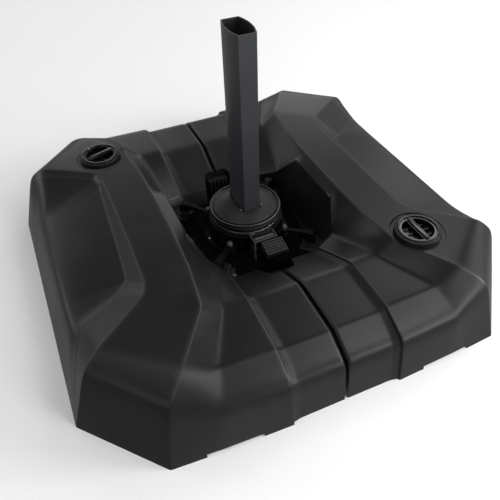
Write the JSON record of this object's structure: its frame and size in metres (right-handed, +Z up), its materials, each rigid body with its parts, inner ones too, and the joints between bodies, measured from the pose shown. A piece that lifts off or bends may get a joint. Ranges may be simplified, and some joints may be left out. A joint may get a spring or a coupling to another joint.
{
  "type": "umbrella base",
  "caption": "Square two-piece fillable ballast base on a steel cross, with screw caps, a turning mast socket and a foot pedal that locks it.",
  "frame": {"origin": "on the floor under the mast axis, at the middle of the square base", "axes": "+Z up along the mast; the seam between the two tanks runs along Y; the foot pedal is on the -Y side"},
  "size_m": [1, 1, 0.56],
  "materials": {
    "tank_plastic": "fine moulded grain",
    "cap_plastic": "polished black",
    "hub_plastic": "satin black",
    "grey_plastic": "light grey",
    "coated_steel": "powder coat, satin",
    "plated_steel": "zinc plated",
    "soft_rubber": "matt"
  },
  "bodies": {
    "base": {"bar_end_cap_back_left": "hub_plastic", "bar_end_cap_back_right": "hub_plastic", "bar_end_cap_front_left": "hub_plastic", "bar_end_cap_front_right": "hub_plastic", "bar_foot_back_left": "soft_rubber", "bar_foot_back_right": "soft_rubber", "bar_foot_front_left": "soft_rubber", "bar_foot_front_right": "soft_rubber", "cross_bar_left": "coated_steel", "cross_bar_long": "coated_steel", "cross_bar_right": "coated_steel", "flange_screws": "plated_steel", "hub_housing": "hub_plastic", "hub_plate": "coated_steel", "neck_ring_left": "hub_plastic", "neck_ring_right": "hub_plastic", "pedal_block": "hub_plastic", "pedal_pin": "plated_steel", "pin_guide": "hub_plastic", "pivot_post": "plated_steel", "plate_bolts": "plated_steel", "retaining_nut": "plated_steel", "retaining_washer": "plated_steel", "shelf_pads": "hub_plastic", "stay_back_left": "hub_plastic", "stay_back_right": "hub_plastic", "stay_front_left": "hub_plastic", "stay_front_right": "hub_plastic", "stay_knobs": "grey_plastic", "tank_left": "tank_plastic", "tank_link": "hub_plastic", "tank_right": "tank_plastic", "thrust_washer": "hub_plastic"},
    "mast": {"turntable": "hub_plastic", "index_plate": "plated_steel", "lower_bush": "hub_plastic", "upper_bush": "hub_plastic", "rim_ring": "hub_plastic", "cover_dome": "hub_plastic", "mast_socket": "coated_steel", "mast_tube": "coated_steel", "mast_screws": "plated_steel"},
    "pedal": {"pedal_lever": "hub_plastic", "pedal_tread": "soft_rubber"},
    "lock_pin": {"lock_pin": "plated_steel"},
    "gasket_left": {"cap_gasket_left": "soft_rubber"},
    "gasket_right": {"cap_gasket_right": "soft_rubber"},
    "cap_left": {"fill_cap_left": "cap_plastic"},
    "cap_right": {"fill_cap_right": "cap_plastic"}
  },
  "joints": [
    {"name": "mast_turn", "type": "hinge", "parent": "base", "child": "mast", "pos_m": [0, 0, 0], "axis": [0, 0, 1], "continuous": true},
    {"name": "pedal_press", "type": "hinge", "parent": "base", "child": "pedal", "pos_m": [0.004, -0.098, 0.08], "axis": [1, 0, 0], "range_deg": [0, 12.5]},
    {"name": "pin_lift", "type": "slide", "parent": "base", "child": "lock_pin", "axis": [0, 0, 1], "range_m": [0, 0.0064]},
    {"name": "gasket_rise_left", "type": "slide", "parent": "base", "child": "gasket_left", "axis": [0, 0, 1], "range_m": [0, 0.0121]},
    {"name": "cap_turn_left", "type": "hinge", "parent": "gasket_left", "child": "cap_left", "pos_m": [-0.276, 0.291, 0], "axis": [0, 0, 1], "range_deg": [0, 720]},
    {"name": "gasket_rise_right", "type": "slide", "parent": "base", "child": "gasket_right", "axis": [0, 0, 1], "range_m": [0, 0.0121]},
    {"name": "cap_turn_right", "type": "hinge", "parent": "gasket_right", "child": "cap_right", "pos_m": [0.276, -0.291, 0], "axis": [0, 0, 1], "range_deg": [0, 720]}
  ],
  "couplings": [
    {"joint": "pin_lift", "follows": "pedal_press", "m_per_rad": 0.02789},
    {"joint": "gasket_rise_left", "follows": "cap_turn_left", "m_per_rad": 0.000955},
    {"joint": "gasket_rise_right", "follows": "cap_turn_right", "m_per_rad": 0.000955}
  ]
}
